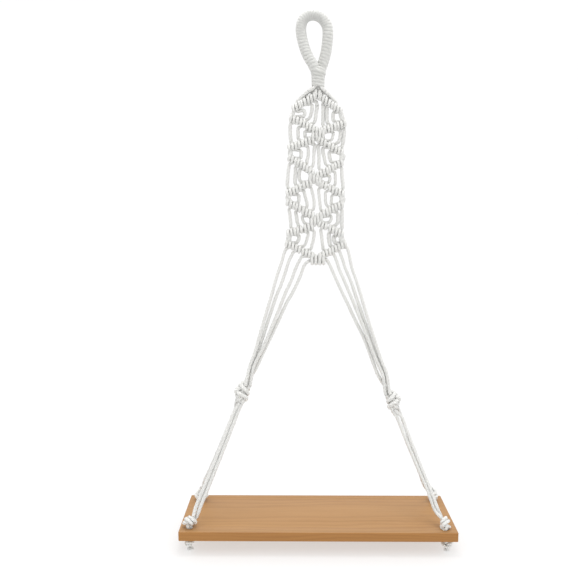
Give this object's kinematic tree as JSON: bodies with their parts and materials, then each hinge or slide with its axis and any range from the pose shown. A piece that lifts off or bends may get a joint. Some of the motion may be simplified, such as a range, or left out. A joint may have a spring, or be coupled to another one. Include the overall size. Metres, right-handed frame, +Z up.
{
  "type": "hanging rope shelf",
  "caption": "Hanging rope shelf: a wooden board slung at its corners from cotton cords that gather in a knotted diamond panel, a wrapped neck and a wrapped hanging loop.",
  "frame": {"origin": "inner top of the hanging loop's eye, where the hook bears, in the plane of the knotted panel", "axes": "+Z up, X along the board, -Y towards the front"},
  "size_m": [0.42, 0.13, 0.8039],
  "materials": {
    "cord": "twisted cotton cord of three strands, off-white, matt and slightly fuzzy",
    "wrap": "the same off-white cotton cord wound tightly, turn beside turn",
    "frayed_cord": "untwisted cotton fibres in a short soft brush",
    "board": "warm tan pine with fine straight grain, sanded, thin satin oil"
  },
  "bodies": {
    "hanger": {"loop_core_cords": "cord", "loop_wrap": "wrap", "neck_wrap": "wrap"},
    "crown": {"crown_knot": "cord"},
    "panel": {"panel_holder_left": "cord", "panel_holder_right": "cord", "panel_cord_left_outer": "cord", "panel_cord_left_middle": "cord", "panel_cord_left_inner": "cord", "panel_cord_right_outer": "cord", "panel_cord_right_middle": "cord", "panel_cord_right_inner": "cord"},
    "legs": {"leg_cord_left_outer_front": "cord", "leg_cord_left_outer_rear": "cord", "leg_cord_left_inner_front": "cord", "leg_cord_left_inner_rear": "cord", "leg_cord_right_outer_front": "cord", "leg_cord_right_outer_rear": "cord", "leg_cord_right_inner_front": "cord", "leg_cord_right_inner_rear": "cord", "leg_knot_left": "cord", "leg_knot_right": "cord"},
    "board": {"shelf_board": "board", "sling_cord_front_left_outer": "cord", "sling_cord_front_left_inner": "cord", "top_knot_front_left": "cord", "stop_knot_front_left": "cord", "frayed_end_front_left": "frayed_cord", "sling_cord_front_right_outer": "cord", "sling_cord_front_right_inner": "cord", "top_knot_front_right": "cord", "stop_knot_front_right": "cord", "frayed_end_front_right": "frayed_cord", "sling_cord_rear_left_outer": "cord", "sling_cord_rear_left_inner": "cord", "top_knot_rear_left": "cord", "stop_knot_rear_left": "cord", "frayed_end_rear_left": "frayed_cord", "sling_cord_rear_right_outer": "cord", "sling_cord_rear_right_inner": "cord", "top_knot_rear_right": "cord", "stop_knot_rear_right": "cord", "frayed_end_rear_right": "frayed_cord"}
  },
  "joints": [
    {"name": "hanger_sway", "type": "hinge", "parent": "hanger", "child": "crown", "pos_m": [0.007, 0, -0.102], "axis": [0, 1, 0], "range_deg": [-15, 15]},
    {"name": "panel_swing", "type": "hinge", "parent": "crown", "child": "panel", "pos_m": [0.007, 0, -0.102], "axis": [1, 0, 0], "range_deg": [-25, 25]},
    {"name": "leg_twist", "type": "hinge", "parent": "panel", "child": "legs", "pos_m": [0.008, 0, -0.3566], "axis": [0, 0, 1], "range_deg": [-20, 20], "stiffness_Nm_per_rad": 0.08},
    {"name": "board_tilt", "type": "hinge", "parent": "legs", "child": "board", "pos_m": [0.0085, 0, -0.559], "axis": [0.9987, 0, -0.0514], "range_deg": [-20, 20]}
  ]
}
